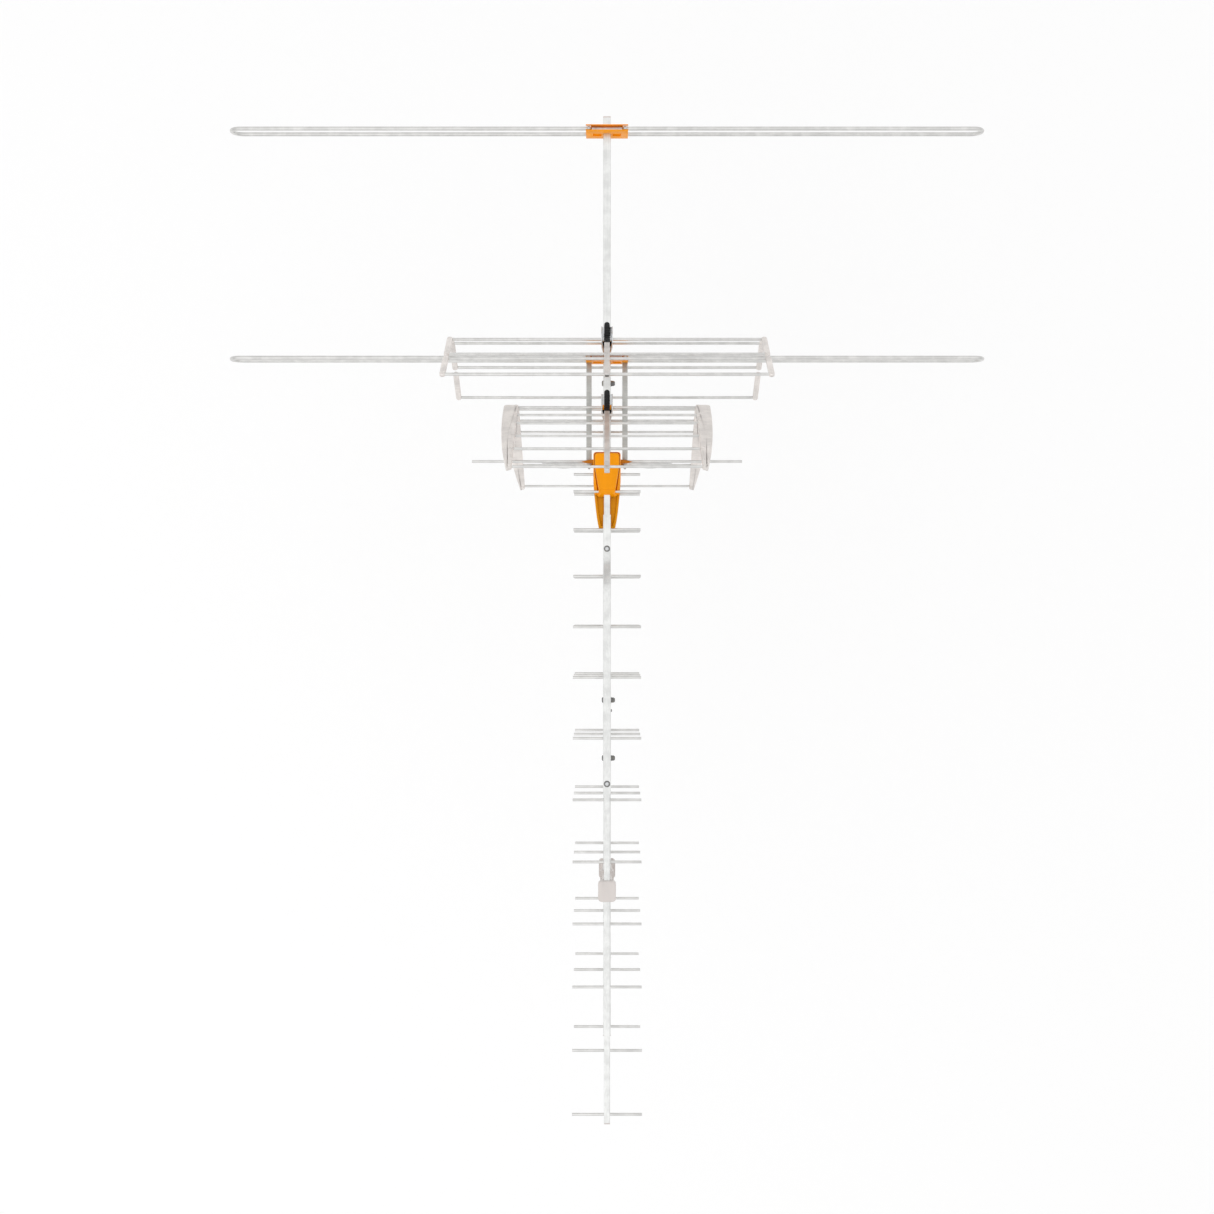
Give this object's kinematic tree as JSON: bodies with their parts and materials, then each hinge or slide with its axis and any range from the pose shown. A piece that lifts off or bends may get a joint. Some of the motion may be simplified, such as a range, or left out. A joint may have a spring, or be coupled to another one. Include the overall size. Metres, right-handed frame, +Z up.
{
  "type": "yagi antenna",
  "caption": "Three-boom yagi antenna with folding V reflectors, wide and narrow, a housed dipole, hairpin low-band loops and a mast socket.",
  "frame": {"origin": "middle of the mast socket's bore", "axes": "+Z up along the mast, -Y towards the receiving end of the booms, +X to the right"},
  "size_m": [1.5078, 1.9584, 0.549],
  "materials": {
    "aluminium": "satin drawn tube",
    "taupe_metal": "satin warm grey",
    "zinc_steel": "bright zinc",
    "zinc_fastener": "bright zinc",
    "blade_metal": "satin sheet",
    "grey_metal": "dull mill finish",
    "nickel": "nickel plate",
    "orange_plastic": "fine moulded grain",
    "dark_orange": "fine moulded grain",
    "black_plastic": "moulded",
    "grey_plastic": "moulded",
    "rubber_seal": "soft",
    "board_green": "solder mask"
  },
  "bodies": {
    "boom_frame": {"boom_bolts": "zinc_fastener", "boom_end_caps": "grey_plastic", "boom_root_stubs": "aluminium", "boom_spacer": "grey_plastic", "circuit_board": "board_green", "coax_jack": "nickel", "cover_screws": "zinc_fastener", "cover_seals": "rubber_seal", "dipole_arms": "aluminium", "dipole_blades": "blade_metal", "dipole_hull": "orange_plastic", "dipole_shrouds": "dark_orange", "dipole_terminals": "nickel", "directors_lower": "aluminium", "directors_main": "aluminium", "directors_upper": "aluminium", "feeder_bars": "grey_metal", "hinge_brackets": "zinc_steel", "hinge_bushes": "orange_plastic", "hinge_saddles": "black_plastic", "lower_boom_bend": "aluminium", "lower_boom_front": "aluminium", "lower_cover": "orange_plastic", "main_boom_centre": "aluminium", "main_boom_front": "aluminium", "main_boom_rear": "aluminium", "mast_bracket": "zinc_steel", "mast_bracket_bolts": "zinc_fastener", "mast_socket": "zinc_steel", "shield_can": "nickel", "splice_sleeves": "aluminium", "upper_boom_bend": "aluminium", "upper_boom_front": "aluminium", "upper_cover": "orange_plastic", "vhf_bracket_front": "orange_plastic", "vhf_bracket_rear": "orange_plastic", "vhf_bridge_strips": "blade_metal", "vhf_screws": "zinc_fastener"},
    "wide_upper_reflector": {"wide_upper_knuckle": "black_plastic", "wide_upper_frame": "taupe_metal", "wide_upper_rods": "aluminium"},
    "wide_lower_reflector": {"wide_lower_knuckle": "black_plastic", "wide_lower_frame": "taupe_metal", "wide_lower_rods": "aluminium"},
    "narrow_upper_reflector": {"narrow_upper_knuckle": "black_plastic", "narrow_upper_frame": "taupe_metal", "narrow_upper_rods": "aluminium"},
    "narrow_lower_reflector": {"narrow_lower_knuckle": "black_plastic", "narrow_lower_frame": "taupe_metal", "narrow_lower_rods": "aluminium"},
    "vhf_rear_left": {"vhf_loop_rear_left": "aluminium"},
    "vhf_rear_right": {"vhf_loop_rear_right": "aluminium"},
    "vhf_front_left": {"vhf_loop_front_left": "aluminium"},
    "vhf_front_right": {"vhf_loop_front_right": "aluminium"},
    "wing_nut_rear": {"wing_nut_rear": "zinc_fastener"},
    "wing_nut_middle": {"wing_nut_middle": "zinc_fastener"},
    "wing_nut_front": {"wing_nut_front": "zinc_fastener"},
    "thumb_screw_upper": {"thumb_screw_upper": "zinc_fastener"},
    "thumb_screw_lower": {"thumb_screw_lower": "zinc_fastener"}
  },
  "joints": [
    {"name": "wide_upper_fold", "type": "hinge", "parent": "boom_frame", "child": "wide_upper_reflector", "pos_m": [0, 0.3184, 0.1328], "axis": [-1, 0, 0], "range_deg": [0, 112]},
    {"name": "wide_lower_fold", "type": "hinge", "parent": "boom_frame", "child": "wide_lower_reflector", "pos_m": [0, 0.3184, 0.0832], "axis": [1, 0, 0], "range_deg": [0, 112]},
    {"name": "narrow_upper_fold", "type": "hinge", "parent": "boom_frame", "child": "narrow_upper_reflector", "pos_m": [0, 0.1842, 0.126], "axis": [-1, 0, 0], "range_deg": [0, 33]},
    {"name": "narrow_lower_fold", "type": "hinge", "parent": "boom_frame", "child": "narrow_lower_reflector", "pos_m": [0, 0.1842, 0.09], "axis": [1, 0, 0], "range_deg": [0, 33]},
    {"name": "vhf_rear_right_fold", "type": "hinge", "parent": "boom_frame", "child": "vhf_rear_right", "pos_m": [0.036, 0.738, 0.108], "axis": [0, 0, 1], "range_deg": [0, 90]},
    {"name": "vhf_rear_left_fold", "type": "hinge", "parent": "boom_frame", "child": "vhf_rear_left", "pos_m": [-0.036, 0.738, 0.108], "axis": [0, 0, -1], "range_deg": [0, 90]},
    {"name": "vhf_front_right_fold", "type": "hinge", "parent": "boom_frame", "child": "vhf_front_right", "pos_m": [0.036, 0.2826, 0.108], "axis": [0, 0, -1], "range_deg": [0, 25]},
    {"name": "vhf_front_left_fold", "type": "hinge", "parent": "boom_frame", "child": "vhf_front_left", "pos_m": [-0.036, 0.2826, 0.108], "axis": [0, 0, 1], "range_deg": [0, 25]},
    {"name": "wing_nut_rear_spin", "type": "hinge", "parent": "boom_frame", "child": "wing_nut_rear", "pos_m": [0.012, 0.234, 0.108], "axis": [1, 0, 0], "continuous": true},
    {"name": "wing_nut_middle_spin", "type": "hinge", "parent": "boom_frame", "child": "wing_nut_middle", "pos_m": [0.012, -0.399, 0.108], "axis": [1, 0, 0], "continuous": true},
    {"name": "wing_nut_front_spin", "type": "hinge", "parent": "boom_frame", "child": "wing_nut_front", "pos_m": [0.012, -0.515, 0.108], "axis": [1, 0, 0], "continuous": true},
    {"name": "thumb_screw_upper_spin", "type": "hinge", "parent": "boom_frame", "child": "thumb_screw_upper", "pos_m": [0, 0.037, 0.015], "axis": [0, 1, 0], "continuous": true},
    {"name": "thumb_screw_lower_spin", "type": "hinge", "parent": "boom_frame", "child": "thumb_screw_lower", "pos_m": [0, 0.037, -0.015], "axis": [0, 1, 0], "continuous": true}
  ]
}
